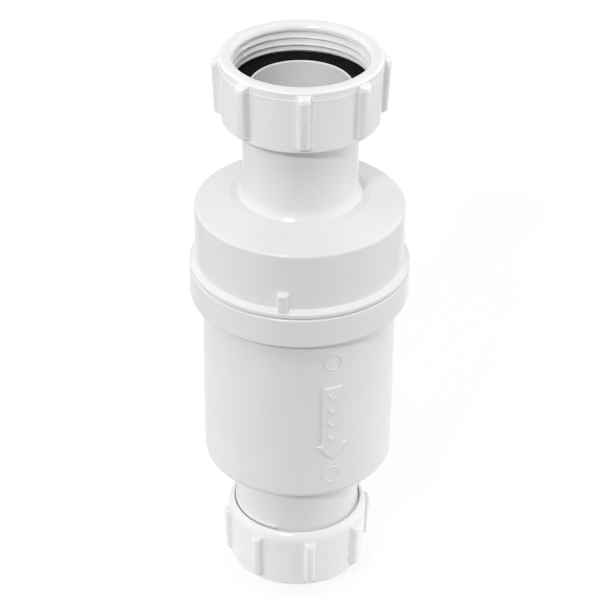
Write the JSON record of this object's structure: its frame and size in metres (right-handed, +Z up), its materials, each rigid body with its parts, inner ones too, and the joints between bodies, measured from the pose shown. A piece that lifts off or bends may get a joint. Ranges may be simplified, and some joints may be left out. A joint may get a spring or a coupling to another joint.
{
  "type": "diaphragm non-return valve",
  "caption": "Upright waste-pipe non-return valve: swivel inlet nut with washer, stepped casing with spring-closed rubber diaphragm, compression outlet nut.",
  "frame": {"origin": "centre of the outlet nut's lower face, which the valve stands on", "axes": "+Z up along the water's axis from outlet to inlet, -Y the front with the index tab and the flow arrow"},
  "size_m": [0.0666, 0.0666, 0.1783],
  "materials": {
    "body_plastic": "white injection-moulded polypropylene, satin gloss",
    "nut_plastic": "white injection-moulded polypropylene, satin gloss",
    "washer_rubber": "black moulded rubber, matt",
    "seal_rubber": "black moulded rubber, matt",
    "diaphragm_rubber": "black moulded rubber, satin",
    "acetal": "natural acetal, smooth",
    "cage_plastic": "white moulded polypropylene, matt",
    "stem_steel": "turned stainless steel",
    "spring_steel": "drawn stainless wire"
  },
  "bodies": {
    "casing": {"inlet_cap": "body_plastic", "valve_body": "body_plastic", "casing_seal": "seal_rubber", "bead_ring": "acetal", "diaphragm": "diaphragm_rubber", "guide_cage": "cage_plastic", "guide_bush": "acetal", "return_spring": "spring_steel", "inlet_washer": "washer_rubber"},
    "closing_disc": {"backing_plate": "cage_plastic", "disc_nose": "cage_plastic", "guide_stem": "stem_steel", "stem_clip": "spring_steel"},
    "inlet_swivel": {"inlet_nut": "nut_plastic"},
    "outlet_seal_set": {"slip_ring": "acetal", "outlet_seal": "seal_rubber"},
    "outlet_screw": {"outlet_nut": "nut_plastic"}
  },
  "joints": [
    {"name": "diaphragm_open", "type": "slide", "parent": "casing", "child": "closing_disc", "axis": [0, 0, 1], "range_m": [-0.007, 0], "stiffness_N_per_m": 40, "springref_m": 0.008, "deforming": ["return_spring", "diaphragm"]},
    {"name": "inlet_nut_turn", "type": "hinge", "parent": "casing", "child": "inlet_swivel", "pos_m": [0, 0, 0.168], "axis": [0, 0, 1], "continuous": true},
    {"name": "outlet_seal_slide", "type": "slide", "parent": "casing", "child": "outlet_seal_set", "axis": [0, 0, 1], "range_m": [-0.00693, 0]},
    {"name": "outlet_nut_turn", "type": "hinge", "parent": "outlet_seal_set", "child": "outlet_screw", "pos_m": [0, 0, 0.01], "axis": [0, 0, 1], "range_deg": [-1080, 0]}
  ],
  "couplings": [
    {"joint": "outlet_seal_slide", "follows": "outlet_nut_turn", "m_per_rad": 0.00036749}
  ]
}
